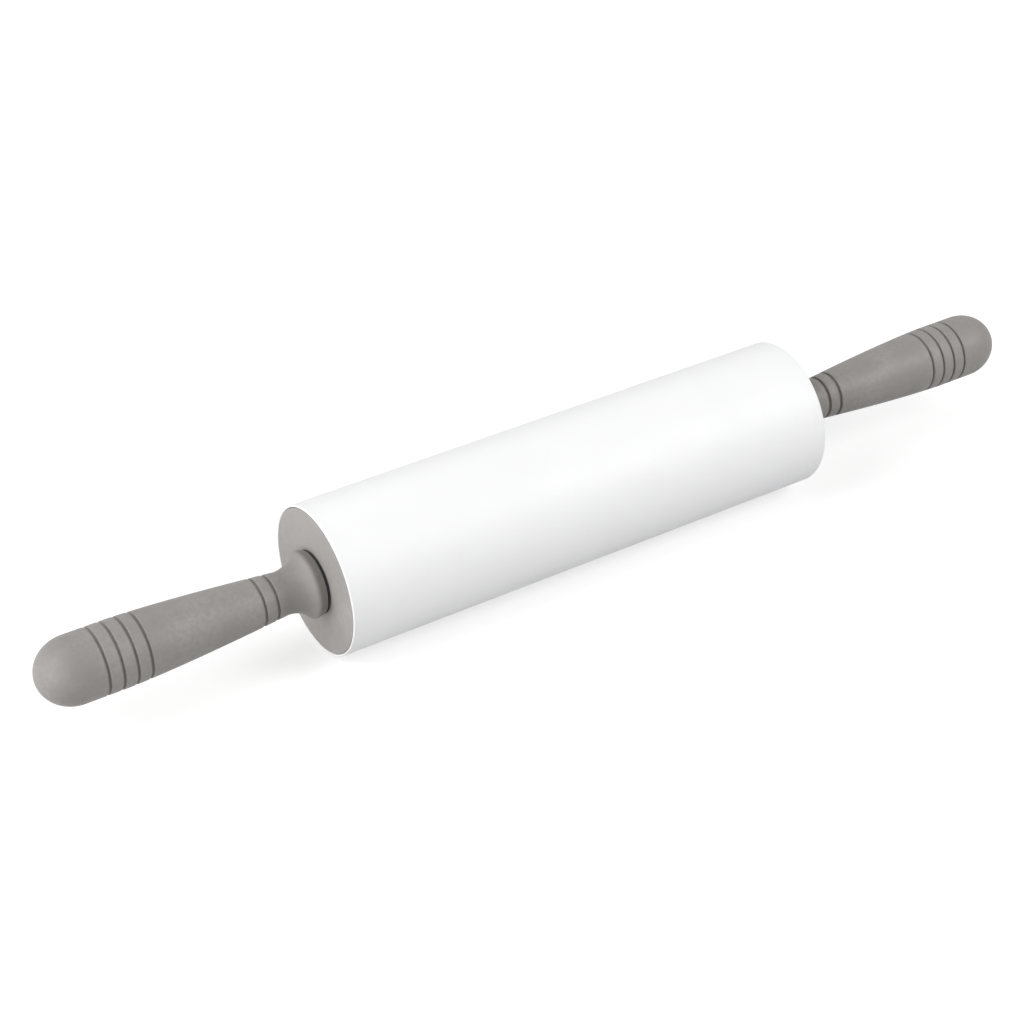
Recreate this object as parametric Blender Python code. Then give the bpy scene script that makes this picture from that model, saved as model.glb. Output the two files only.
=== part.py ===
"""Silicone rolling pin with a free-spinning barrel.

A white silicone sleeve covers a rigid core tube, which is closed by two grey end caps.
A deep-groove ball bearing sits in each cap and carries a steel axle rod.
The rod runs through the barrel and screws into a grip at each end, so the two grips and
the rod are one body and the barrel spins round them. Each bearing's cage and balls go
round between the two.

Sizes below are in millimetres; the model itself is in metres. The pin lies along X on
the plane Z = 0, with its left grip at -X.
"""

from math import acos, cos, pi, radians, sin, sqrt

import bmesh
import bpy
from mathutils import Matrix

MM = 0.001
GAP = 0.3

# Barrel: sleeve, core tube and the end caps that close them
BARREL_RADIUS = 29.0
BARREL_LENGTH = 212.4
SLEEVE_WALL = 1.8
SLEEVE_LIP = 0.7
SLEEVE_EDGE = 0.35
CORE_WALL = 3.0
CAP_DISC = 2.6
CAP_EDGE = 0.4
CAP_BORE_RADIUS = 8.0
CAP_SPIGOT_WALL = 2.3
CAP_SPIGOT_DEPTH = 17.0
CAP_SPIGOT_LEAD = 0.7
CAP_HUB_WALL = 2.5
CAP_HUB_FLOOR = 3.0
CAP_HUB_LIP = 0.5
CAP_RIBS = 6
CAP_RIB_THICKNESS = 1.6
CAP_RIB_DEPTH = 11.0

# Ball bearing of the common 8 x 22 x 7 size, with seven balls
BEARING_BORE_RADIUS = 4.0
BEARING_OUTER_RADIUS = 11.0
BEARING_WIDTH = 7.0
BEARING_BALLS = 7
BALL_RADIUS = 3.969 / 2
PITCH_RADIUS = 7.5
INNER_SHOULDER_RADIUS = 6.2
OUTER_SHOULDER_RADIUS = 8.9
SHIELD_SEAT_RADIUS = 9.6
SHIELD_SEAT_DEPTH = 0.6
SHIELD_THICKNESS = 0.3
SHIELD_INNER_RADIUS = 6.6
CAGE_INNER_RADIUS = 6.75
CAGE_OUTER_RADIUS = 8.25
CAGE_BACK = 2.9
CAGE_FRONT = 1.2
CAGE_DRILL_LENGTH = 4.5
RETAINER_INNER_RADIUS = 9.0
RETAINER_WIDTH = 1.5

# Axle rod, its clips and its spacers
ROD_REACH = 75.0
THREAD_LENGTH = 18.0
THREAD_RELIEF = 0.15
ROD_CHAMFER = 0.8
CLIP_THICKNESS = 1.0
CLIP_OUTER_RADIUS = 6.5
CLIP_GROOVE_DEPTH = 0.6
CLIP_OPENING = 70.0
SPACER_OUTER_RADIUS = 6.2
SPACER_FLANGE_RADIUS = 12.2

# Grips: over-moulded skin on a ribbed core with a threaded insert
GRIP_REACH = 108.8
FLANGE_GAP = 1.1
FLANGE_BACK_RADIUS = 12.3
FLANGE_RADIUS = 12.9
FLANGE_WIDTH = 3.3
FLANGE_FRONT = 5.7
FLANGE_FRONT_RADIUS = 11.8
FLARE_CONTROL = 8.8
FLARE_CONTROL_RADIUS = 8.3
NECK = 14.0
NECK_RADIUS = 8.2
GRIP_RADIUS = 12.7
DOME_LENGTH = 14.0
STRAIGHT_END = 30.0
TAPER_POWER = 1.43
PALM_GROOVES_FROM_TIP = (22.3, 27.8, 33.2, 38.6)
NECK_GROOVES_FROM_TIP = (84.6, 89.9)
GROOVE_WIDTH = 1.2
GROOVE_FLOOR_WIDTH = 0.9
GROOVE_DEPTH = 1.2
SKIN_WALL = 2.4
CORE_WAISTS = 4
CORE_WAIST_DEPTH = 1.2
CORE_WAIST_WIDTH = 6.0
CORE_WAIST_PITCH = 11.0
CORE_FIRST_WAIST = 32.0
INSERT_LENGTH = 18.0
INSERT_RADIUS = 6.6
INSERT_END = 76.0
INSERT_BAND_WIDTH = 6.0
INSERT_BAND_DEPTH = 0.5

# Faces round each turned piece, and angle up to which they are shaded smooth
BARREL_SIDES = 40
GRIP_SIDES = 24
RING_SIDES = 24
SMALL_SIDES = 20
POCKET_SIDES = 12
CORE_SIDES = 16
CLIP_STEPS = 16
SMOOTH_ANGLE = 30.0

# Lengths that follow from the sizes above
SLEEVE_INNER_RADIUS = BARREL_RADIUS - SLEEVE_WALL
RECESS_RADIUS = BARREL_RADIUS - SLEEVE_LIP
CAP_RADIUS = RECESS_RADIUS - GAP
CAP_FACE = BARREL_LENGTH / 2
TUBE_END = CAP_FACE - CAP_DISC - GAP
TUBE_RADIUS = SLEEVE_INNER_RADIUS - GAP
TUBE_BORE_RADIUS = TUBE_RADIUS - CORE_WALL
SPIGOT_RADIUS = TUBE_BORE_RADIUS - GAP
POCKET_RADIUS = BEARING_OUTER_RADIUS + GAP
POCKET_FLOOR = -CAP_HUB_FLOOR
BEARING_FACE = POCKET_FLOOR - GAP
BEARING_CENTRE = BEARING_FACE - BEARING_WIDTH / 2
BEARING_BACK = BEARING_FACE - BEARING_WIDTH
RETAINER_FACE = BEARING_BACK - GAP
HUB_DEPTH = RETAINER_FACE - RETAINER_WIDTH - CAP_HUB_LIP
RACE_RADIUS = BALL_RADIUS + GAP
POCKET_RADIUS_ON_BALL = BALL_RADIUS + GAP
ROD_RADIUS = BEARING_BORE_RADIUS - GAP
BORE_ON_ROD = ROD_RADIUS + GAP
CORE_MOUTH_RADIUS = NECK_RADIUS - SKIN_WALL - GAP


def clear_scene():
    for thing in list(bpy.data.objects):
        bpy.data.objects.remove(thing, do_unlink=True)


def plain_material(name, colour, roughness, metallic=0.0):
    material = bpy.data.materials.new(name)
    material.use_nodes = True
    shader = material.node_tree.nodes["Principled BSDF"]
    shader.inputs["Base Color"].default_value = (*colour, 1.0)
    shader.inputs["Roughness"].default_value = roughness
    shader.inputs["Metallic"].default_value = metallic
    return material


def make_materials():
    return {
        "silicone": plain_material("white_silicone", (0.88, 0.88, 0.88), 0.55),
        "core": plain_material("natural_plastic", (0.70, 0.68, 0.63), 0.50),
        "cap": plain_material("grey_cap_plastic", (0.32, 0.30, 0.29), 0.55),
        "grip": plain_material("grey_grip_plastic", (0.31, 0.29, 0.28), 0.55),
        "grip_core": plain_material("dark_core_plastic", (0.10, 0.10, 0.10), 0.55),
        "steel": plain_material("bright_steel", (0.62, 0.62, 0.63), 0.28, 1.0),
        "shield": plain_material("shield_steel", (0.52, 0.53, 0.54), 0.35, 1.0),
        "spring": plain_material("spring_steel", (0.22, 0.22, 0.23), 0.40, 1.0),
        "brass": plain_material("insert_brass", (0.72, 0.52, 0.22), 0.35, 1.0),
        "nylon": plain_material("cage_nylon", (0.62, 0.56, 0.42), 0.50),
        "spacer": plain_material("spacer_plastic", (0.02, 0.02, 0.02), 0.50),
    }


def add_object(name, bm, material, parent):
    """Turn a bmesh into a named object under parent, smooth with sharp edges kept."""
    bmesh.ops.recalc_face_normals(bm, faces=bm.faces)
    mesh = bpy.data.meshes.new(name)
    bm.to_mesh(mesh)
    bm.free()
    mesh.shade_smooth()
    mesh.set_sharp_from_angle(angle=radians(SMOOTH_ANGLE))
    mesh.materials.append(material)
    thing = bpy.data.objects.new(name, mesh)
    thing.parent = parent
    bpy.context.collection.objects.link(thing)
    return thing


def add_empty(name, x, z, turn=0.0, parent=None):
    """An axis marker: turn swings its local +X about Z."""
    empty = bpy.data.objects.new(name, None)
    empty.empty_display_type = "ARROWS"
    empty.empty_display_size = 10 * MM
    empty.location = (x * MM, 0, z * MM)
    empty.rotation_euler = (0, 0, turn)
    empty.parent = parent
    bpy.context.collection.objects.link(empty)
    return empty


def turned_bmesh(outline, sides, on_axis=False):
    """Spin an outline of (x, radius) points about X.

    The outline is a closed loop, or an open run that starts and ends on the axis. The
    flats, not the corners, lie on the stated radius, and one flat faces straight down.
    """
    bm = bmesh.new()
    half_step = pi / sides
    corner = MM / cos(half_step)
    verts = []
    for x, radius in outline:
        y = radius * corner * sin(half_step)
        z = radius * corner * cos(half_step)
        verts.append(bm.verts.new((x * MM, y, z)))
    pairs = list(zip(verts, verts[1:]))
    if not on_axis:
        pairs.append((verts[-1], verts[0]))
    edges = [bm.edges.new(pair) for pair in pairs]
    bmesh.ops.spin(
        bm, geom=verts + edges, cent=(0, 0, 0), axis=(1, 0, 0),
        angle=2 * pi, steps=sides, use_merge=True,
    )
    bmesh.ops.remove_doubles(bm, verts=bm.verts, dist=1e-7)
    return bm


def turned(name, outline, sides, material, parent, on_axis=False):
    return add_object(name, turned_bmesh(outline, sides, on_axis), material, parent)


def tube_outline(low, high, inner, outer):
    return [(low, inner), (low, outer), (high, outer), (high, inner)]


def mirrored(half):
    """A closed outline, symmetric about x = 0, from its +X half."""
    return half + [(-x, radius) for x, radius in reversed(half)]


def boolean(target, operand, operation):
    """Join or cut target by a guide object that isn't a piece itself."""
    operand.hide_render = True
    operand.display_type = "WIRE"
    modifier = target.modifiers.new(operation.lower(), "BOOLEAN")
    modifier.operation = operation
    modifier.solver = "EXACT"
    modifier.object = operand


def silicone_sleeve(materials, axis):
    """The sleeve's bore widens at each end to hold the cap's disc, flush with its lip."""
    half = [
        (TUBE_END, SLEEVE_INNER_RADIUS),
        (TUBE_END, RECESS_RADIUS),
        (CAP_FACE, RECESS_RADIUS),
        (CAP_FACE, BARREL_RADIUS - SLEEVE_EDGE),
        (CAP_FACE - SLEEVE_EDGE, BARREL_RADIUS),
    ]
    turned("silicone_sleeve", mirrored(half), BARREL_SIDES, materials["silicone"], axis)


def core_tube(materials, axis):
    outline = tube_outline(-TUBE_END, TUBE_END, TUBE_BORE_RADIUS, TUBE_RADIUS)
    turned("core_tube", outline, BARREL_SIDES, materials["core"], axis)


def axle_rod(materials, axis):
    """One steel rod, grooved for a clip behind each bearing and threaded at each end."""
    end = CAP_FACE + ROD_REACH
    thread = end - THREAD_LENGTH
    clip = CAP_FACE + BEARING_BACK - GAP - CLIP_THICKNESS / 2
    half_groove = CLIP_THICKNESS / 2 + GAP
    half = [
        (clip - half_groove, ROD_RADIUS),
        (clip - half_groove, ROD_RADIUS - CLIP_GROOVE_DEPTH),
        (clip + half_groove, ROD_RADIUS - CLIP_GROOVE_DEPTH),
        (clip + half_groove, ROD_RADIUS),
        (thread, ROD_RADIUS),
        (thread, ROD_RADIUS - THREAD_RELIEF),
        (end - ROD_CHAMFER, ROD_RADIUS - THREAD_RELIEF),
        (end, ROD_RADIUS - ROD_CHAMFER),
        (end, 0.0),
    ]
    outline = [(-x, radius) for x, radius in reversed(half)] + half
    turned("axle_rod", outline, SMALL_SIDES, materials["steel"], axis, on_axis=True)


def cap_ribs(side, materials, end):
    """Webs between the cap's bearing hub and its spigot, joined to the cap by a union."""
    bm = bmesh.new()
    low = POCKET_RADIUS + CAP_HUB_WALL / 2
    high = SPIGOT_RADIUS - CAP_SPIGOT_WALL / 2
    front = -CAP_DISC / 2
    size = (CAP_RIB_DEPTH + front, CAP_RIB_THICKNESS, high - low)
    middle = (front - size[0] / 2, 0, (low + high) / 2)
    for index in range(CAP_RIBS):
        place = Matrix.Rotation(2 * pi * index / CAP_RIBS, 4, "X")
        place @= Matrix.Translation([value * MM for value in middle])
        place @= Matrix.Diagonal([value * MM for value in size] + [1])
        bmesh.ops.create_cube(bm, size=1, matrix=place)
    return add_object(side + "_cap_ribs_guide", bm, materials["cap"], end)


def end_cap(side, materials, end):
    """Disc, spigot that plugs the core tube, and a hub with the bearing pocket."""
    hub = POCKET_RADIUS + CAP_HUB_WALL
    spigot_bore = SPIGOT_RADIUS - CAP_SPIGOT_WALL
    outline = [
        (0, CAP_BORE_RADIUS),
        (0, CAP_RADIUS - CAP_EDGE),
        (-CAP_EDGE, CAP_RADIUS),
        (-CAP_DISC, CAP_RADIUS),
        (-CAP_DISC, SPIGOT_RADIUS),
        (CAP_SPIGOT_LEAD - CAP_SPIGOT_DEPTH, SPIGOT_RADIUS),
        (-CAP_SPIGOT_DEPTH, SPIGOT_RADIUS - CAP_SPIGOT_LEAD),
        (-CAP_SPIGOT_DEPTH, spigot_bore),
        (-CAP_DISC, spigot_bore),
        (-CAP_DISC, hub),
        (HUB_DEPTH, hub),
        (HUB_DEPTH, POCKET_RADIUS),
        (POCKET_FLOOR, POCKET_RADIUS),
        (POCKET_FLOOR, CAP_BORE_RADIUS),
    ]
    cap = turned(side + "_end_cap", outline, BARREL_SIDES, materials["cap"], end)
    boolean(cap, cap_ribs(side, materials, end), "UNION")


def race_arc(shoulder, outward, steps=3):
    """Points along a ball groove, from its -X shoulder to its +X shoulder."""
    half_angle = acos(abs(PITCH_RADIUS - shoulder) / RACE_RADIUS)
    points = []
    for step in range(steps + 1):
        angle = half_angle * (2 * step / steps - 1)
        x = BEARING_CENTRE + RACE_RADIUS * sin(angle)
        radius = PITCH_RADIUS + outward * RACE_RADIUS * cos(angle)
        points.append((x, radius))
    return points


def bearing_rings(side, materials, end):
    """Outer ring with a seat for a shield at each face, and inner ring."""
    front, back = BEARING_FACE, BEARING_BACK
    outer = [
        (back, SHIELD_SEAT_RADIUS),
        (back + SHIELD_SEAT_DEPTH, SHIELD_SEAT_RADIUS),
        (back + SHIELD_SEAT_DEPTH, OUTER_SHOULDER_RADIUS),
        *race_arc(OUTER_SHOULDER_RADIUS, +1),
        (front - SHIELD_SEAT_DEPTH, OUTER_SHOULDER_RADIUS),
        (front - SHIELD_SEAT_DEPTH, SHIELD_SEAT_RADIUS),
        (front, SHIELD_SEAT_RADIUS),
        (front, BEARING_OUTER_RADIUS),
        (back, BEARING_OUTER_RADIUS),
    ]
    inner = [
        (back, BEARING_BORE_RADIUS),
        (back, INNER_SHOULDER_RADIUS),
        *race_arc(INNER_SHOULDER_RADIUS, -1),
        (front, INNER_SHOULDER_RADIUS),
        (front, BEARING_BORE_RADIUS),
    ]
    turned(side + "_bearing_outer_ring", outer, RING_SIDES, materials["steel"], end)
    turned(side + "_bearing_inner_ring", inner, SMALL_SIDES, materials["steel"], end)


def bearing_shields(side, materials, end):
    rim = SHIELD_SEAT_RADIUS - GAP
    places = {"outer": BEARING_FACE - SHIELD_THICKNESS, "inner": BEARING_BACK}
    for name, low in places.items():
        outline = tube_outline(low, low + SHIELD_THICKNESS, SHIELD_INNER_RADIUS, rim)
        node = f"{side}_{name}_shield"
        turned(node, outline, SMALL_SIDES, materials["shield"], end)


def ball_place(index):
    turn = Matrix.Rotation(2 * pi * index / BEARING_BALLS, 4, "X")
    return turn @ Matrix.Translation((BEARING_CENTRE * MM, 0, PITCH_RADIUS * MM))


def cage_pockets(side, materials, end):
    """Radial drillings, one round each ball."""
    bm = bmesh.new()
    radius = POCKET_RADIUS_ON_BALL / cos(pi / POCKET_SIDES) * MM
    for index in range(BEARING_BALLS):
        bmesh.ops.create_cone(
            bm, cap_ends=True, segments=POCKET_SIDES, radius1=radius, radius2=radius,
            depth=CAGE_DRILL_LENGTH * MM, matrix=ball_place(index),
        )
    return add_object(side + "_cage_pockets_guide", bm, materials["nylon"], end)


def bearing_cage(side, materials, end):
    """A snap-in cage: a ring closed at its back, whose pockets open at its front."""
    outline = tube_outline(
        BEARING_CENTRE - CAGE_BACK, BEARING_CENTRE + CAGE_FRONT,
        CAGE_INNER_RADIUS, CAGE_OUTER_RADIUS,
    )
    cage = turned(side + "_bearing_cage", outline, RING_SIDES, materials["nylon"], end)
    boolean(cage, cage_pockets(side, materials, end), "DIFFERENCE")


def bearing_balls(side, materials, end):
    for index in range(BEARING_BALLS):
        bm = bmesh.new()
        bmesh.ops.create_icosphere(
            bm, subdivisions=2, radius=BALL_RADIUS * MM, matrix=ball_place(index)
        )
        add_object(f"{side}_ball_{index + 1}", bm, materials["steel"], end)


def bearing_retainer(side, materials, end):
    low = RETAINER_FACE - RETAINER_WIDTH
    rim = POCKET_RADIUS - GAP
    outline = tube_outline(low, RETAINER_FACE, RETAINER_INNER_RADIUS, rim)
    turned(side + "_bearing_retainer", outline, SMALL_SIDES, materials["spring"], end)


def axle_clip(side, materials, end):
    """An open ring that snaps into the rod's groove behind the bearing."""
    low = BEARING_BACK - GAP - CLIP_THICKNESS
    inner = ROD_RADIUS - CLIP_GROOVE_DEPTH + GAP
    start = radians(CLIP_OPENING / 2)
    sweep = 2 * pi - 2 * start
    bm = bmesh.new()
    corners = tube_outline(low, low + CLIP_THICKNESS, inner, CLIP_OUTER_RADIUS)
    section = [bm.verts.new((x * MM, 0, radius * MM)) for x, radius in corners]
    face = bm.faces.new(section)
    bmesh.ops.rotate(
        bm, verts=section, cent=(0, 0, 0), matrix=Matrix.Rotation(start, 3, "X")
    )
    bmesh.ops.spin(
        bm, geom=[face, *face.edges, *face.verts], cent=(0, 0, 0), axis=(1, 0, 0),
        angle=sweep, steps=CLIP_STEPS,
    )
    add_object(side + "_axle_clip", bm, materials["spring"], end)


def spacer(side, materials, end):
    """A black flanged sleeve on the rod, which fills the gap between grip and cap."""
    low, high = BEARING_FACE + GAP, FLANGE_GAP - GAP
    outline = [
        (low, BORE_ON_ROD),
        (low, SPACER_OUTER_RADIUS),
        (GAP, SPACER_OUTER_RADIUS),
        (GAP, SPACER_FLANGE_RADIUS),
        (high, SPACER_FLANGE_RADIUS),
        (high, BORE_ON_ROD),
    ]
    turned(side + "_spacer", outline, GRIP_SIDES, materials["spacer"], end)


def grip_radius(from_tip):
    """Outer radius of the plain grip: a dome, a straight stretch and a long taper."""
    if from_tip < DOME_LENGTH:
        along = 1 - from_tip / DOME_LENGTH
        return GRIP_RADIUS * sqrt(1 - along * along)
    if from_tip < STRAIGHT_END:
        return GRIP_RADIUS
    neck = GRIP_REACH - NECK
    share = (min(from_tip, neck) - STRAIGHT_END) / (neck - STRAIGHT_END)
    return GRIP_RADIUS - (GRIP_RADIUS - NECK_RADIUS) * share ** TAPER_POWER


def dome_stations(steps=6):
    """Distances from the tip that step evenly round the dome, without its pole."""
    return [DOME_LENGTH * (1 - cos(pi / 2 * step / steps)) for step in range(1, steps + 1)]


def groove_points(grooves):
    """Outline over a row of grooves, given their places from the tip."""
    half_width, half_floor = GROOVE_WIDTH / 2, GROOVE_FLOOR_WIDTH / 2
    points = []
    for middle in grooves:
        floor = grip_radius(middle) - GROOVE_DEPTH
        points += [
            (middle - half_width, grip_radius(middle - half_width)),
            (middle - half_floor, floor),
            (middle + half_floor, floor),
            (middle + half_width, grip_radius(middle + half_width)),
        ]
    return points


def between(low, high, count=4):
    """Places that divide a run evenly, without its ends."""
    return [low + (high - low) * step / (count + 1) for step in range(1, count + 1)]


def flare_points(steps=5):
    """The concave sweep from the neck up to the flange, as distances from the cap."""
    points = []
    for step in range(steps + 1):
        t = step / steps
        weights = ((1 - t) ** 2, 2 * t * (1 - t), t * t)
        places = (NECK, FLARE_CONTROL, FLANGE_FRONT)
        radii = (NECK_RADIUS, FLARE_CONTROL_RADIUS, FLANGE_FRONT_RADIUS)
        x = sum(weight * place for weight, place in zip(weights, places))
        radius = sum(weight * value for weight, value in zip(weights, radii))
        points.append((x, radius))
    return points


def grip_outside():
    """The grip's outer outline, from the pole at its tip to the flange's back face."""
    taper = between(PALM_GROOVES_FROM_TIP[-1], NECK_GROOVES_FROM_TIP[0])
    from_tip = [(0.0, 0.0)]
    from_tip += [(place, grip_radius(place)) for place in dome_stations()]
    from_tip += groove_points(PALM_GROOVES_FROM_TIP)
    from_tip += [(place, grip_radius(place)) for place in taper]
    from_tip += groove_points(NECK_GROOVES_FROM_TIP)
    outline = [(GRIP_REACH - place, radius) for place, radius in from_tip]
    shoulder = FLANGE_GAP + FLANGE_WIDTH
    outline += flare_points()
    outline.append((shoulder, FLANGE_RADIUS))
    outline.append((FLANGE_GAP, FLANGE_BACK_RADIUS))
    return outline


def skin_bore_radius(from_tip):
    return grip_radius(from_tip) - SKIN_WALL


def inner_dome(wall, steps=4):
    """The dome under the tip, set in by wall, from its rim to its pole."""
    length = DOME_LENGTH - wall
    widest = GRIP_RADIUS - wall
    points = []
    for step in range(steps + 1):
        angle = pi / 2 * step / steps
        x = GRIP_REACH - DOME_LENGTH + length * sin(angle)
        points.append((x, widest * cos(angle) if step < steps else 0.0))
    return points


def taper_stations(count=4):
    """Places along the taper, as distances from the tip, from the neck outwards."""
    neck = GRIP_REACH - NECK
    return [neck + (STRAIGHT_END - neck) * step / count for step in range(count + 1)]


def skin_inside():
    outline = [(FLANGE_GAP, skin_bore_radius(GRIP_REACH - NECK))]
    for place in taper_stations():
        outline.append((GRIP_REACH - place, skin_bore_radius(place)))
    return outline + inner_dome(SKIN_WALL)


def handle_grip(side, materials, end):
    """The visible skin: closed at its domed tip, open at its flange."""
    outline = grip_outside() + skin_inside()
    node = side + "_handle_grip"
    turned(node, outline, GRIP_SIDES, materials["grip"], end, on_axis=True)


def waist_points(centre_from_tip):
    """A shallow waist round the core, which saves plastic and keeps its wall even."""
    half = CORE_WAIST_WIDTH / 2
    points = []
    for place, depth in ((half, 0), (half, 1), (-half, 1), (-half, 0)):
        from_tip = centre_from_tip + place
        radius = skin_bore_radius(from_tip) - GAP - depth * CORE_WAIST_DEPTH
        points.append((GRIP_REACH - from_tip, radius))
    return points


def handle_core(side, materials, end):
    """The rigid plug inside the skin, bored for the rod and its threaded insert."""
    outside = [(FLANGE_GAP, CORE_MOUTH_RADIUS)]
    outside.append((NECK, CORE_MOUTH_RADIUS))
    centres = [CORE_FIRST_WAIST + CORE_WAIST_PITCH * index for index in range(CORE_WAISTS)]
    for centre in reversed(centres):
        outside += waist_points(centre)
    outside += inner_dome(SKIN_WALL + GAP)
    pocket = INSERT_RADIUS + GAP
    pocket_low = INSERT_END - INSERT_LENGTH - GAP
    pocket_high = INSERT_END + GAP
    bore = [
        (pocket_high, 0.0),
        (pocket_high, pocket),
        (pocket_low, pocket),
        (pocket_low, BORE_ON_ROD),
        (FLANGE_GAP, BORE_ON_ROD),
    ]
    outline = list(reversed(outside)) + list(reversed(bore))
    node = side + "_handle_core"
    turned(node, outline, CORE_SIDES, materials["grip_core"], end, on_axis=True)


def threaded_insert(side, materials, end):
    """A brass nut moulded into the core, with a band cut round it for grip."""
    low = INSERT_END - INSERT_LENGTH
    band = INSERT_BAND_WIDTH / 2
    middle = low + INSERT_LENGTH / 2
    outline = [
        (low, BORE_ON_ROD),
        (low, INSERT_RADIUS),
        (middle - band, INSERT_RADIUS),
        (middle - band, INSERT_RADIUS - INSERT_BAND_DEPTH),
        (middle + band, INSERT_RADIUS - INSERT_BAND_DEPTH),
        (middle + band, INSERT_RADIUS),
        (INSERT_END, INSERT_RADIUS),
        (INSERT_END, BORE_ON_ROD),
    ]
    turned(side + "_threaded_insert", outline, CORE_SIDES, materials["brass"], end)


def build_end(side, materials, end):
    end_cap(side, materials, end)
    bearing_rings(side, materials, end)
    bearing_shields(side, materials, end)
    bearing_retainer(side, materials, end)
    bearing_cage(side, materials, end)
    bearing_balls(side, materials, end)
    axle_clip(side, materials, end)
    spacer(side, materials, end)
    handle_grip(side, materials, end)
    handle_core(side, materials, end)
    threaded_insert(side, materials, end)


def main():
    clear_scene()
    materials = make_materials()
    axis = add_empty("barrel_axis", 0, BARREL_RADIUS)
    silicone_sleeve(materials, axis)
    core_tube(materials, axis)
    axle_rod(materials, axis)
    build_end("left", materials, add_empty("left_end", -CAP_FACE, 0, pi, axis))
    build_end("right", materials, add_empty("right_end", CAP_FACE, 0, 0, axis))
    bpy.context.view_layer.update()


main()
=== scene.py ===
"""Looks of the silicone rolling pin: fine turned surfaces, materials, studio and camera.

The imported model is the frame: it sets the size and the place of every piece, in metres.
The pieces that show are turned again here with fine, rounded profiles. Those are written
in millimetres along the pin's own axis: for an end piece, x runs outwards from the face
of its cap.
"""

from math import cos, pi, radians, sin, sqrt, tan

import bmesh
import bpy
from mathutils import Matrix, Vector


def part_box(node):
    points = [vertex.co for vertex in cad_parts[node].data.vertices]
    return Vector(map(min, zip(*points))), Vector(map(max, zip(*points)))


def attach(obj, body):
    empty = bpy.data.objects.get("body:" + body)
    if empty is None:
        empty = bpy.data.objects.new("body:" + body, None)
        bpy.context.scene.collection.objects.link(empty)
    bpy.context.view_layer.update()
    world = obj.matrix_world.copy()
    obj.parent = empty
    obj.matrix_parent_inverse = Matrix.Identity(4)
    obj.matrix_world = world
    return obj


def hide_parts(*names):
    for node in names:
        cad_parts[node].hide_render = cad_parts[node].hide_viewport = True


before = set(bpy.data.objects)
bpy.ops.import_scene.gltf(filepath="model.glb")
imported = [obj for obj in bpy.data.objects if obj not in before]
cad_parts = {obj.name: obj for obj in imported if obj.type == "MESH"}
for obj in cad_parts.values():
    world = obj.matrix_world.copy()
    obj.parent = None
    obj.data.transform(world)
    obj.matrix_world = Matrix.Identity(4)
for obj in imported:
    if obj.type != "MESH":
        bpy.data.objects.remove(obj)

# MM and MERGE_DISTANCE are in metres. GAP, the play between two pieces, is in millimetres
MM = 0.001
MERGE_DISTANCE = 1e-7
GAP = 0.3

# Camera, from a perspective fit to the photograph: depth and offsets are in metres
IMAGE_SIZE = 1027
FOCAL_PIXELS = 2393.8
SENSOR_WIDTH = 36.0
CAMERA_AZIMUTH = radians(-32.57)
CAMERA_ELEVATION = radians(34.96)
CAMERA_DEPTH = 0.91424
PIN_RIGHT_OF_AXIS = 0.01748
PIN_ABOVE_AXIS = 0.00822

# Light: distances are in metres, and a softbox has a direction and its watts
WORLD_STRENGTH = 0.28
FLOOR_REACH = 4.0
FLOOR_DROP = 0.00005
FLOOR_GREY = 0.49
FLOOR_GLOW = 0.6
FLOOR_FADE_FROM = 0.5
FLOOR_FADE_TO = 1.4
SOFTBOX_DISTANCE = 1.5
SOFTBOX_SIZE = 0.8
SOFTBOXES = {
    "front_right": ((0.55, -0.55, 0.6), 11.6),
    "left": ((-0.7, 0.0, 0.7), 9.3),
    "left_low": ((-1.0, -0.36, 0.12), 9.6),
    "back_left": ((-0.9, 0.4, 0.35), 5.9),
    "back_top": ((0.3, 0.6, 0.7), 2.4),
}

# Turned profiles, in millimetres. An EDGE, a GROOVE_LIP or a LEAD is a corner's radius.
# FLANGE_CORNER_RISE is the height of the flange's corner that its rounding takes off again
TURN_SIDES = 224
SLEEVE_WALL = 1.8
LIP_GAP = 0.2
LIP_EDGE = 0.5
LIP_INNER_EDGE = 0.25
CAP_EDGE = 0.2
CAP_DISC = 2.6
CAP_BORE_RADIUS = 8.0
CAP_BORE_EDGE = 0.4
CAP_POCKET_FLOOR = 3.0
CAP_SPIGOT_WALL = 2.3
CAP_SPIGOT_LEAD = 0.7
CAP_HUB_WALL = 2.5
CAP_HUB_DEPTH = 12.6
CAP_RIBS = 6
CAP_RIB_THICKNESS = 1.6
CAP_RIB_DEPTH = 11.0
CAP_RIB_OVERLAP = 1.0
CORE_WALL = 3.0
SPACER_RADIUS = 6.2
SPACER_BORE_RADIUS = 4.0
SPACER_EDGE = 0.1
FLANGE_EDGE = 1.8
FLANGE_CORNER_RISE = 0.18
FLANGE_BACK_EDGE = 0.3
FLANGE_BACK_RADIUS = 12.3
FLANGE_WIDTH = 3.5
FLANGE_FRONT = 5.7
FLANGE_FRONT_RADIUS = 11.8
FLARE_CONTROL = 8.8
FLARE_CONTROL_RADIUS = 8.3
NECK = 14.0
NECK_RADIUS = 8.2
GRIP_RADIUS = 12.7
DOME_LENGTH = 14.0
STRAIGHT_END = 30.0
TAPER_POWER = 1.43
GROOVES_FROM_TIP = (22.3, 27.8, 33.2, 38.6, 84.6, 89.9)
GROOVE_WIDTH = 1.2
GROOVE_FLOOR_WIDTH = 0.9
GROOVE_DEPTH = 1.0
GROOVE_LIP = 0.3
SKIN_WALL = 2.4

# Plastics that show: their light and dark colour, then roughness or its range
GRIP_GREY = ((0.294, 0.277, 0.262), (0.249, 0.236, 0.223), (0.5, 0.62))
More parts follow.
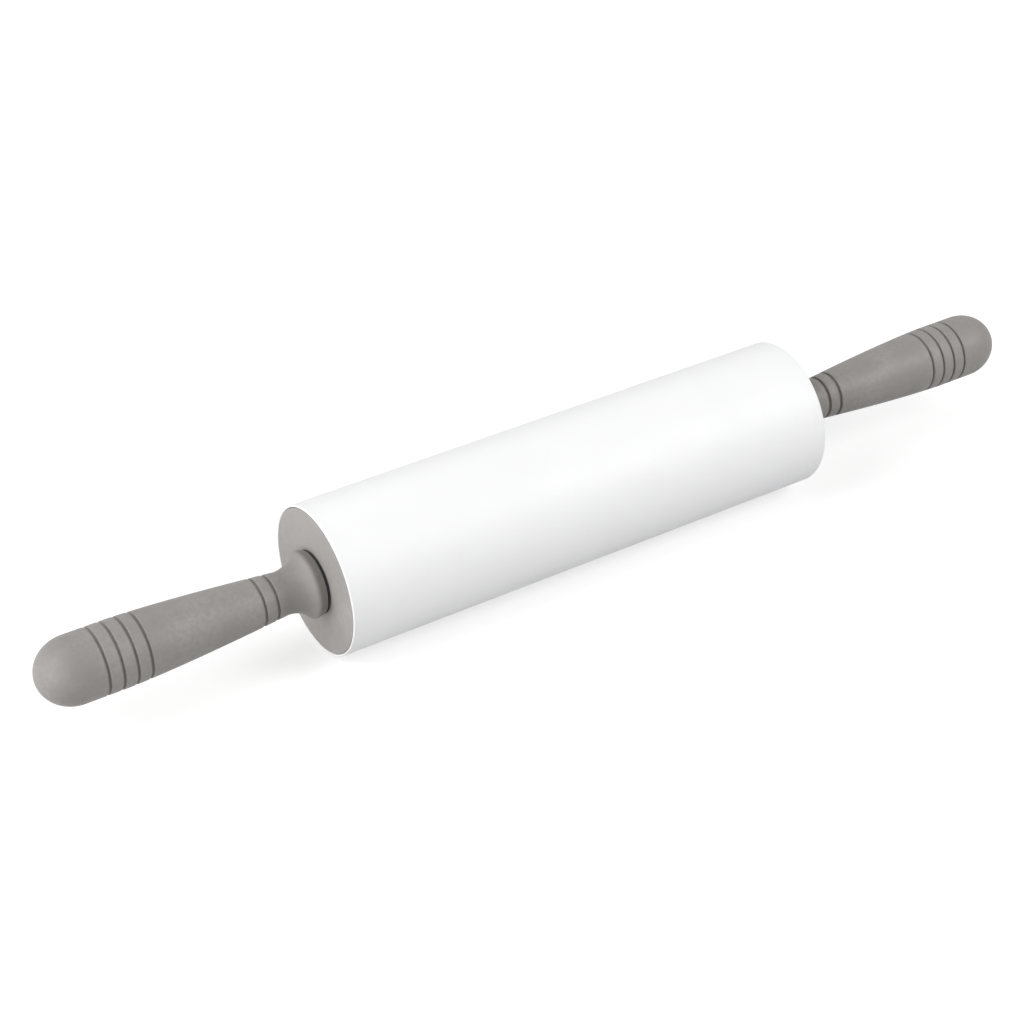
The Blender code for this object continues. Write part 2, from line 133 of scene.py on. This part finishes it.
# CAP_GREY_WITH_PAINTED_LIGHT is lighter than GRIP_GREY: painted light that stands in for the
# brighter light on the caps' faces
CAP_GREY_WITH_PAINTED_LIGHT = ((0.348, 0.329, 0.317), (0.304, 0.287, 0.275), (0.5, 0.6))
# SPACER_BLACK_PAINTED_SHADE is near black so that the spacer's rim paints the deep shade in the
# gap between flange and cap as a dark line
SPACER_BLACK_PAINTED_SHADE = ((0.014, 0.014, 0.014), (0.01, 0.01, 0.01), 0.55)
CLOUD_SHADE = 0.94

# The frame's own sizes, in millimetres but for the axis's height, which is in metres
AXIS_HEIGHT = (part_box("axle_rod")[0].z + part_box("axle_rod")[1].z) / 2
BARREL_RADIUS = AXIS_HEIGHT / MM
SLEEVE_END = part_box("silicone_sleeve")[1].x / MM
TUBE_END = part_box("core_tube")[1].x / MM
TUBE_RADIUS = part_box("core_tube")[1].y / MM
CAP_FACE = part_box("right_end_cap")[1].x / MM
CAP_BACK = CAP_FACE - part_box("right_end_cap")[0].x / MM
CAP_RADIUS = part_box("right_end_cap")[1].y / MM
BEARING_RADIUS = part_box("right_bearing_outer_ring")[1].y / MM
SPACER_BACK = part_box("right_spacer")[0].x / MM - CAP_FACE
SPACER_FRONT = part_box("right_spacer")[1].x / MM - CAP_FACE
SPACER_FLANGE_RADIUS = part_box("right_spacer")[1].y / MM
GRIP_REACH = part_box("right_handle_grip")[1].x / MM - CAP_FACE
FLANGE_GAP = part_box("right_handle_grip")[0].x / MM - CAP_FACE
FLANGE_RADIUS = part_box("right_handle_grip")[1].y / MM
SIDES = {"left": -1, "right": 1}


def rounded(points, steps=5):
    """The outline with an arc in place of each corner that gives a radius as well."""
    outline = []
    for index, point in enumerate(points):
        if len(point) == 2:
            outline.append(point)
            continue
        corner, radius = Vector(point[:2]), point[2]
        before = (Vector(points[index - 1][:2]) - corner).normalized()
        after = (Vector(points[(index + 1) % len(points)][:2]) - corner).normalized()
        half = before.angle(after) / 2
        centre = corner + (before + after).normalized() * (radius / sin(half))
        start = corner + before * (radius / tan(half)) - centre
        sweep = start.angle_signed(corner + after * (radius / tan(half)) - centre)
        for step in range(steps + 1):
            arm = Matrix.Rotation(-sweep * step / steps, 2) @ start
            outline.append(tuple(centre + arm))
    return outline


def spin_outline(outline, origin, outward, closed):
    """Spin an outline of (x, radius) in millimetres about the pin's axis.

    x runs from origin, to the right where outward is 1 and to the left where it is -1.
    """
    bm = bmesh.new()
    verts = []
    for x, radius in outline:
        place = ((origin + outward * x) * MM, 0.0, AXIS_HEIGHT + radius * MM)
        verts.append(bm.verts.new(place))
    pairs = list(zip(verts, verts[1:]))
    if closed:
        pairs.append((verts[-1], verts[0]))
    edges = [bm.edges.new(pair) for pair in pairs]
    bmesh.ops.spin(
        bm, geom=verts + edges, cent=(0, 0, AXIS_HEIGHT), axis=(1, 0, 0),
        angle=2 * pi, steps=TURN_SIDES, use_merge=True,
    )
    bmesh.ops.remove_doubles(bm, verts=bm.verts, dist=MERGE_DISTANCE)
    return bm


def add_piece(name, bm, material, node, body):
    """The bmesh as a smooth piece that stands for a CAD node."""
    bmesh.ops.recalc_face_normals(bm, faces=bm.faces)
    mesh = bpy.data.meshes.new(name)
    bm.to_mesh(mesh)
    bm.free()
    mesh.shade_smooth()
    mesh.materials.append(material)
    piece = bpy.data.objects.new(name, mesh)
    bpy.context.collection.objects.link(piece)
    flats = piece.modifiers.new("flat faces stay flat", "WEIGHTED_NORMAL")
    flats.mode = "FACE_AREA_WITH_ANGLE"
    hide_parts(node)
    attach(piece, body)


def sleeve(material):
    """The silicone sleeve, with a round lip at each end and a recess for the cap."""
    recess = CAP_RADIUS + LIP_GAP
    half = [
        (TUBE_END, BARREL_RADIUS - SLEEVE_WALL),
        (TUBE_END, recess),
        (SLEEVE_END, recess, LIP_INNER_EDGE),
        (SLEEVE_END, BARREL_RADIUS, LIP_EDGE),
    ]
    outline = half + [(-point[0], *point[1:]) for point in reversed(half)]
    bm = spin_outline(rounded(outline), 0.0, 1, closed=True)
    add_piece("sleeve_surface", bm, material, "silicone_sleeve", "barrel")


def cap_ribs(bm, inner, outer, origin, outward):
    """The webs between the bearing hub and the spigot, from the inner radius to the outer."""
    front = -CAP_DISC / 2
    length = CAP_RIB_DEPTH + front
    middle = (outward * (front - length / 2), 0, (inner + outer) / 2)
    size = (length, CAP_RIB_THICKNESS, outer - inner)
    for index in range(CAP_RIBS):
        place = Matrix.Translation((origin * MM, 0, AXIS_HEIGHT))
        place @= Matrix.Rotation(2 * pi * index / CAP_RIBS, 4, "X")
        place @= Matrix.Translation([value * MM for value in middle])
        place @= Matrix.Diagonal([value * MM for value in size] + [1])
        bmesh.ops.create_cube(bm, size=1, matrix=place)


def end_caps(material):
    """Each a disc with a soft rim, a spigot and a ribbed bearing hub."""
    spigot = TUBE_RADIUS - CORE_WALL - GAP
    spigot_bore = spigot - CAP_SPIGOT_WALL
    pocket = BEARING_RADIUS + GAP
    hub = pocket + CAP_HUB_WALL
    outline = rounded([
        (0, CAP_BORE_RADIUS, CAP_BORE_EDGE),
        (0, CAP_RADIUS, CAP_EDGE),
        (-CAP_DISC, CAP_RADIUS),
        (-CAP_DISC, spigot),
        (-CAP_BACK, spigot, CAP_SPIGOT_LEAD),
        (-CAP_BACK, spigot_bore),
        (-CAP_DISC, spigot_bore),
        (-CAP_DISC, hub),
        (-CAP_HUB_DEPTH, hub),
        (-CAP_HUB_DEPTH, pocket),
        (-CAP_POCKET_FLOOR, pocket),
        (-CAP_POCKET_FLOOR, CAP_BORE_RADIUS),
    ])
    for side, outward in SIDES.items():
        bm = spin_outline(outline, outward * CAP_FACE, outward, closed=True)
        rib_span = (hub - CAP_RIB_OVERLAP, spigot_bore + CAP_RIB_OVERLAP)
        cap_ribs(bm, *rib_span, outward * CAP_FACE, outward)
        name = side + "_cap_surface"
        add_piece(name, bm, material, side + "_end_cap", "barrel")


def spacers(material):
    """The black flanged sleeve on the rod: its near-black rim is painted shade, the dark line
    of the gap beside the cap.
    """
    outline = rounded([
        (SPACER_BACK, SPACER_BORE_RADIUS, SPACER_EDGE),
        (SPACER_BACK, SPACER_RADIUS, SPACER_EDGE),
        (GAP, SPACER_RADIUS),
        (GAP, SPACER_FLANGE_RADIUS, SPACER_EDGE),
        (SPACER_FRONT, SPACER_FLANGE_RADIUS, SPACER_EDGE),
        (SPACER_FRONT, SPACER_BORE_RADIUS, SPACER_EDGE),
    ])
    for side, outward in SIDES.items():
        bm = spin_outline(outline, outward * CAP_FACE, outward, closed=True)
        name = side + "_spacer_surface"
        add_piece(name, bm, material, side + "_spacer", "handles")


def grip_radius(from_tip):
    """Outer radius of the plain grip at a distance from its tip."""
    if from_tip < DOME_LENGTH:
        along = 1 - from_tip / DOME_LENGTH
        return GRIP_RADIUS * sqrt(1 - along * along)
    if from_tip < STRAIGHT_END:
        return GRIP_RADIUS
    share = (from_tip - STRAIGHT_END) / (GRIP_REACH - NECK - STRAIGHT_END)
    return GRIP_RADIUS - (GRIP_RADIUS - NECK_RADIUS) * share ** TAPER_POWER


def groove(from_tip):
    """A groove with round lips and floor corners."""
    half_width, half_floor = GROOVE_WIDTH / 2, GROOVE_FLOOR_WIDTH / 2
    floor = grip_radius(from_tip) - GROOVE_DEPTH
    return [
        (from_tip - half_width, grip_radius(from_tip - half_width), GROOVE_LIP),
        (from_tip - half_floor, floor, GROOVE_LIP),
        (from_tip + half_floor, floor, GROOVE_LIP),
        (from_tip + half_width, grip_radius(from_tip + half_width), GROOVE_LIP),
    ]


def grip_stations(dome_steps=24, step_length=2.0):
    """Points of the plain grip, clear of its grooves, as (distance from tip, radius)."""
    turns = [pi / 2 * step / dome_steps for step in range(1, dome_steps + 1)]
    places = [DOME_LENGTH * (1 - cos(turn)) for turn in turns]
    while places[-1] + step_length < GRIP_REACH - NECK:
        places.append(places[-1] + step_length)
    clear = [
        place for place in places
        if all(abs(place - middle) > GROOVE_WIDTH for middle in GROOVES_FROM_TIP)
    ]
    return [(place, grip_radius(place)) for place in clear]


def flare(steps=14):
    """The concave sweep from the neck up to the flange's front edge."""
    points = []
    for step in range(steps + 1):
        t = step / steps
        weights = ((1 - t) ** 2, 2 * t * (1 - t), t * t)
        places = (NECK, FLARE_CONTROL, FLANGE_FRONT)
        radii = (NECK_RADIUS, FLARE_CONTROL_RADIUS, FLANGE_FRONT_RADIUS)
        x = sum(weight * place for weight, place in zip(weights, places))
        radius = sum(weight * value for weight, value in zip(weights, radii))
        points.append((x, radius))
    return points


def inner_dome(steps=8):
    """The inside of the dome, from its rim to its pole."""
    length, widest = DOME_LENGTH - SKIN_WALL, GRIP_RADIUS - SKIN_WALL
    start = GRIP_REACH - DOME_LENGTH
    turns = [pi / 2 * step / steps for step in range(steps)]
    rim_to_pole = [(start + length * sin(turn), widest * cos(turn)) for turn in turns]
    return rim_to_pole + [(start + length, 0.0)]


def grip_outline():
    """The skin of a grip: outside from its pole to the flange, then inside to its pole."""
    outside = grip_stations() + [point for place in GROOVES_FROM_TIP for point in groove(place)]
    outside.sort(key=lambda point: point[0])
    outline = [(GRIP_REACH, 0.0)]
    outline += [(GRIP_REACH - point[0], *point[1:]) for point in outside]
    outline += flare()
    outline += [
        (FLANGE_GAP + FLANGE_WIDTH, FLANGE_RADIUS + FLANGE_CORNER_RISE, FLANGE_EDGE),
        (FLANGE_GAP, FLANGE_BACK_RADIUS, FLANGE_BACK_EDGE),
        (FLANGE_GAP, NECK_RADIUS - SKIN_WALL),
        (NECK, NECK_RADIUS - SKIN_WALL),
        (GRIP_REACH - STRAIGHT_END, GRIP_RADIUS - SKIN_WALL),
    ]
    return rounded(outline + inner_dome())


def grips(material):
    """The grooved, domed skins of both handles, each with its flange."""
    for side, outward in SIDES.items():
        bm = spin_outline(grip_outline(), outward * CAP_FACE, outward, closed=False)
        name = side + "_grip_surface"
        add_piece(name, bm, material, side + "_handle_grip", "handles")


class Shading:
    """A Principled material whose nodes are built up by short calls."""

    def __init__(self, name, roughness, metallic=0.0):
        self.material = bpy.data.materials.new(name)
        self.material.use_nodes = True
        self.nodes = self.material.node_tree.nodes
        self.links = self.material.node_tree.links
        self.shader = self.nodes["Principled BSDF"]
        self.shader.inputs["Roughness"].default_value = roughness
        self.shader.inputs["Metallic"].default_value = metallic
        self.place = self.nodes.new("ShaderNodeTexCoord").outputs["Object"]

    def noise(self, size, detail=3.0, stretch=1.0):
        """Noise whose grains are size metres wide, and stretch times as long along X."""
        mapping = self.nodes.new("ShaderNodeMapping")
        mapping.inputs["Scale"].default_value = (1 / stretch, 1, 1)
        self.links.new(self.place, mapping.inputs["Vector"])
        noise = self.nodes.new("ShaderNodeTexNoise")
        noise.inputs["Scale"].default_value = 1 / size
        noise.inputs["Detail"].default_value = detail
        self.links.new(mapping.outputs["Vector"], noise.inputs["Vector"])
        return noise.outputs[0]

    def spread(self, value, out_low=0.0, out_high=1.0, low=0.3, high=0.7):
        """The value, mapped from its range to the out range and clamped.

        The default is for noise, which seldom leaves 0.3 to 0.7.
        """
        node = self.nodes.new("ShaderNodeMapRange")
        limits = {"From Min": low, "From Max": high, "To Min": out_low, "To Max": out_high}
        for socket, number in limits.items():
            node.inputs[socket].default_value = number
        self.links.new(value, node.inputs["Value"])
        return node.outputs["Result"]

    def mix(self, factor, first, second):
        """The first colour where the factor is 0 and the second where it is 1."""
        node = self.nodes.new("ShaderNodeMix")
        node.data_type = "RGBA"
        self.links.new(factor, node.inputs[0])
        for socket, colour in ((node.inputs[6], first), (node.inputs[7], second)):
            if isinstance(colour, tuple):
                socket.default_value = (*colour, 1.0)
            else:
                self.links.new(colour, socket)
        return node.outputs[2]

    def colour(self, value):
        """Use the value as the base colour."""
        self.links.new(value, self.shader.inputs["Base Color"])

    def roughness(self, value):
        """Use the value as the roughness."""
        self.links.new(value, self.shader.inputs["Roughness"])

    def bump(self, height, distance, under=None):
        """Grain that follows height, distance metres deep, over the grain under it if any."""
        node = self.nodes.new("ShaderNodeBump")
        node.inputs["Distance"].default_value = distance
        self.links.new(height, node.inputs["Height"])
        if under is not None:
            self.links.new(under, node.inputs["Normal"])
        self.links.new(node.outputs["Normal"], self.shader.inputs["Normal"])
        return node.outputs["Normal"]


def silicone():
    """Soft white rubber: a little light goes in, and its skin is satin, not glossy."""
    look = Shading("white_silicone", 0.5)
    clouds = look.spread(look.noise(0.035), low=0.35, high=0.65)
    look.colour(look.mix(clouds, (0.885, 0.885, 0.885), (0.87, 0.87, 0.875)))
    satin = look.noise(0.012, detail=5)
    look.roughness(look.spread(satin, 0.44, 0.56))
    soft = look.bump(look.noise(0.004, detail=2), distance=0.00003)
    look.bump(look.noise(0.00035, detail=4), distance=0.000006, under=soft)
    look.shader.inputs["Subsurface Weight"].default_value = 0.15
    look.shader.inputs["Subsurface Radius"].default_value = (1.0, 0.9, 0.8)
    look.shader.inputs["Subsurface Scale"].default_value = 0.002
    look.shader.inputs["IOR"].default_value = 1.41
    return look.material


def moulded_grey(name, light, dark, roughness):
    """Plastic with a fine spark-eroded grain and a faint mottle.

    roughness is its lowest and highest value.
    """
    look = Shading(name, roughness[1])
    mottle = look.spread(look.noise(0.0016, detail=4), low=0.35, high=0.65)
    clouds = look.spread(look.noise(0.02))
    fine = look.mix(mottle, dark, light)
    slightly_darker = tuple(CLOUD_SHADE * value for value in dark)
    look.colour(look.mix(clouds, fine, slightly_darker))
    sheen = look.noise(0.003, detail=5)
    look.roughness(look.spread(sheen, *roughness))
    grain = look.bump(look.noise(0.00022), distance=0.000018)
    look.bump(look.noise(0.0011, detail=2), distance=0.00002, under=grain)
    return look.material


def plain_moulding(name, light, dark, roughness):
    """Plastic with a clouded colour and a fine grain."""
    look = Shading(name, roughness)
    clouds = look.spread(look.noise(0.006, detail=4))
    look.colour(look.mix(clouds, light, dark))
    sheen = look.noise(0.002)
    look.roughness(look.spread(sheen, roughness - 0.05, roughness + 0.08))
    look.bump(look.noise(0.0004), distance=0.00001)
    return look.material


def worked_metal(name, light, dark, roughness, mark_size, stretch=1.0):
    """Metal whose fine marks are mark_size metres wide, and stretched along or round the axis.

    roughness is its lowest and highest value. A stretch above 1 makes marks that run
    along the axis, and one below 1 makes marks that run round it.
    """
    look = Shading(name, roughness[1], metallic=1.0)
    marks = look.noise(mark_size, detail=4, stretch=stretch)
    stains = look.spread(look.noise(0.004), low=0.35)
    look.colour(look.mix(stains, light, dark))
    look.roughness(look.spread(marks, *roughness))
    look.bump(marks, distance=0.000004)
    return look.material


def finish_inner_nodes():
    """Each CAD node that no turned piece replaces gets its own finish."""
    rod = worked_metal(
        "drawn_steel", (0.62, 0.62, 0.63), (0.55, 0.55, 0.56),
        roughness=(0.22, 0.36), mark_size=0.0004, stretch=30,
    )
    bearing = worked_metal(
        "ground_steel", (0.66, 0.66, 0.67), (0.6, 0.6, 0.61),
        roughness=(0.08, 0.18), mark_size=0.002, stretch=0.05,
    )
    shield = worked_metal(
        "pressed_steel", (0.55, 0.56, 0.57), (0.48, 0.49, 0.5),
        roughness=(0.28, 0.4), mark_size=0.0005,
    )
    spring = worked_metal(
        "blackened_steel", (0.1, 0.1, 0.105), (0.05, 0.05, 0.055),
        roughness=(0.38, 0.52), mark_size=0.0006,
    )
    brass = worked_metal(
        "machined_brass", (0.74, 0.54, 0.24), (0.62, 0.44, 0.18),
        roughness=(0.2, 0.34), mark_size=0.002, stretch=0.05,
    )
    nylon = plain_moulding("cage_nylon", (0.62, 0.56, 0.42), (0.57, 0.51, 0.38), 0.45)
    tube = plain_moulding("natural_plastic", (0.7, 0.68, 0.63), (0.66, 0.64, 0.59), 0.45)
    core = plain_moulding("dark_core_plastic", (0.1, 0.1, 0.1), (0.075, 0.075, 0.078), 0.5)
    finishes = {
        "axle_rod": rod,
        "bearing_outer_ring": bearing,
        "bearing_inner_ring": bearing,
        "ball_": bearing,
        "_shield": shield,
        "bearing_retainer": spring,
        "axle_clip": spring,
        "threaded_insert": brass,
        "bearing_cage": nylon,
        "core_tube": tube,
        "handle_core": core,
    }
    for name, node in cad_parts.items():
        for words, material in finishes.items():
            if words in name:
                node.data.materials.clear()
                node.data.materials.append(material)


def seen_ray(nodes, links):
    """1 for a camera, glossy or transmission ray, and 0 for one that lights the object."""
    path = nodes.new("ShaderNodeLightPath")
    first = nodes.new("ShaderNodeMath")
    first.operation = "MAXIMUM"
    links.new(path.outputs["Is Camera Ray"], first.inputs[0])
    links.new(path.outputs["Is Glossy Ray"], first.inputs[1])
    second = nodes.new("ShaderNodeMath")
    second.operation = "MAXIMUM"
    links.new(first.outputs[0], second.inputs[0])
    links.new(path.outputs["Is Transmission Ray"], second.inputs[1])
    return second.outputs[0]


def floor():
    """A plain grey floor with a glow that only seen_ray's rays meet, and so looks white.

    The glow grows with the distance from the pin, where less of the lamps' light arrives.
    """
    mesh = bpy.data.meshes.new("studio_floor")
    quarters = ((-1, -1), (1, -1), (1, 1), (-1, 1))
    corners = [(x * FLOOR_REACH, y * FLOOR_REACH, 0) for x, y in quarters]
    mesh.from_pydata(corners, [], [(0, 1, 2, 3)])
    look = Shading("white_floor", 0.6)
    look.shader.inputs["Base Color"].default_value = (FLOOR_GREY, FLOOR_GREY, FLOOR_GREY, 1)
    distance = look.nodes.new("ShaderNodeVectorMath")
    distance.operation = "LENGTH"
    look.links.new(look.place, distance.inputs[0])
    fade = look.spread(
        distance.outputs["Value"], FLOOR_GLOW, 1, low=FLOOR_FADE_FROM, high=FLOOR_FADE_TO
    )
    glow = look.nodes.new("ShaderNodeMath")
    glow.operation = "MULTIPLY"
    look.links.new(seen_ray(look.nodes, look.links), glow.inputs[0])
    look.links.new(fade, glow.inputs[1])
    look.shader.inputs["Emission Color"].default_value = (1, 1, 1, 1)
    look.links.new(glow.outputs[0], look.shader.inputs["Emission Strength"])
    mesh.materials.append(look.material)
    plane = bpy.data.objects.new("studio_floor", mesh)
    plane.location.z = -FLOOR_DROP
    bpy.context.collection.objects.link(plane)


def studio_world():
    """White where it is seen, and a plain even light on the object."""
    world = bpy.data.worlds.new("studio")
    bpy.context.scene.world = world
    world.use_nodes = True
    nodes, links = world.node_tree.nodes, world.node_tree.links
    background = nodes["Background"]
    background.inputs["Color"].default_value = (1, 1, 1, 1)
    strength = nodes.new("ShaderNodeMapRange")
    strength.inputs["To Min"].default_value = WORLD_STRENGTH
    links.new(seen_ray(nodes, links), strength.inputs["Value"])
    links.new(strength.outputs["Result"], background.inputs["Strength"])


def softboxes():
    """Round softboxes, all at one distance and turned to the pin."""
    for name, (towards, power) in SOFTBOXES.items():
        data = bpy.data.lights.new(name + "_softbox", "AREA")
        data.energy = power
        data.shape = "DISK"
        data.size = SOFTBOX_SIZE
        lamp = bpy.data.objects.new(name + "_softbox", data)
        lamp.location = Vector(towards).normalized() * SOFTBOX_DISTANCE
        lamp.rotation_euler = Vector(towards).to_track_quat("Z", "Y").to_euler()
        bpy.context.collection.objects.link(lamp)


def camera():
    """The photograph's camera: its axis passes the pin's middle at a known distance."""
    data = bpy.data.cameras.new("photo_camera")
    data.sensor_width = SENSOR_WIDTH
    data.lens = FOCAL_PIXELS / IMAGE_SIZE * SENSOR_WIDTH
    level = cos(CAMERA_ELEVATION)
    forward = Vector((
        -sin(CAMERA_AZIMUTH) * level, cos(CAMERA_AZIMUTH) * level, -sin(CAMERA_ELEVATION)
    ))
    right = forward.cross(Vector((0, 0, 1))).normalized()
    up = right.cross(forward)
    pin = Vector((0, 0, AXIS_HEIGHT))
    place = pin - forward * CAMERA_DEPTH - right * PIN_RIGHT_OF_AXIS - up * PIN_ABOVE_AXIS
    turn = Matrix((right, up, -forward)).transposed().to_4x4()
    view = bpy.data.objects.new("photo_camera", data)
    view.matrix_world = Matrix.Translation(place) @ turn
    bpy.context.collection.objects.link(view)
    bpy.context.scene.camera = view


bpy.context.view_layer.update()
sleeve(silicone())
end_caps(moulded_grey("grey_cap_plastic", *CAP_GREY_WITH_PAINTED_LIGHT))
spacers(plain_moulding("spacer_plastic", *SPACER_BLACK_PAINTED_SHADE))
grips(moulded_grey("grey_grip_plastic", *GRIP_GREY))
finish_inner_nodes()
floor()
studio_world()
softboxes()
camera()
bpy.context.scene.view_settings.view_transform = "Standard"
